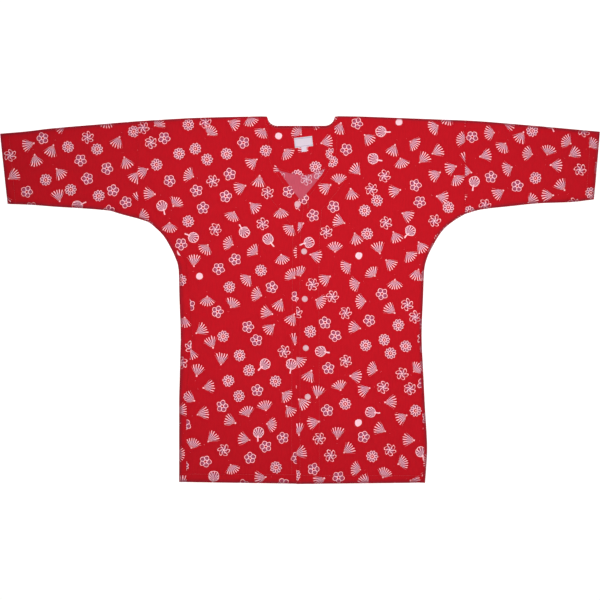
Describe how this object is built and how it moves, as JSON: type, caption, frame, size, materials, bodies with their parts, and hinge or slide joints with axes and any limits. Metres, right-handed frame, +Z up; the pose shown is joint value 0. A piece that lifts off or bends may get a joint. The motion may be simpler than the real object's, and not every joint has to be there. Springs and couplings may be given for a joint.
{
  "type": "festival shirt, laid flat",
  "caption": "Collarless festival shirt laid flat: V neck, buttoned front, cut-on long sleeves with a sewn extension, all-over print.",
  "frame": {"origin": "on the surface that the shirt lies on, under the middle of its outline", "axes": "+X towards the wearer's left cuff, +Y towards the neck, +Z up off the surface"},
  "size_m": [1.2, 0.736, 0.0074],
  "materials": {
    "printed_cloth": "matt plain-woven cotton, red ground with a pale pink print",
    "facing_cloth": "the same printed cotton, right side out",
    "label_tape": "smooth white woven tape with a slight sheen",
    "button": "pearly polyester, polished"
  },
  "bodies": {
    "root": {"back": "printed_cloth", "front_right": "printed_cloth", "front_left": "printed_cloth", "sleeve_right": "printed_cloth", "sleeve_left": "printed_cloth", "back_neck_facing": "facing_cloth", "neck_label": "label_tape", "size_tab": "label_tape", "button_1": "button", "button_2": "button", "button_3": "button", "button_4": "button", "button_5": "button"}
  },
  "joints": []
}
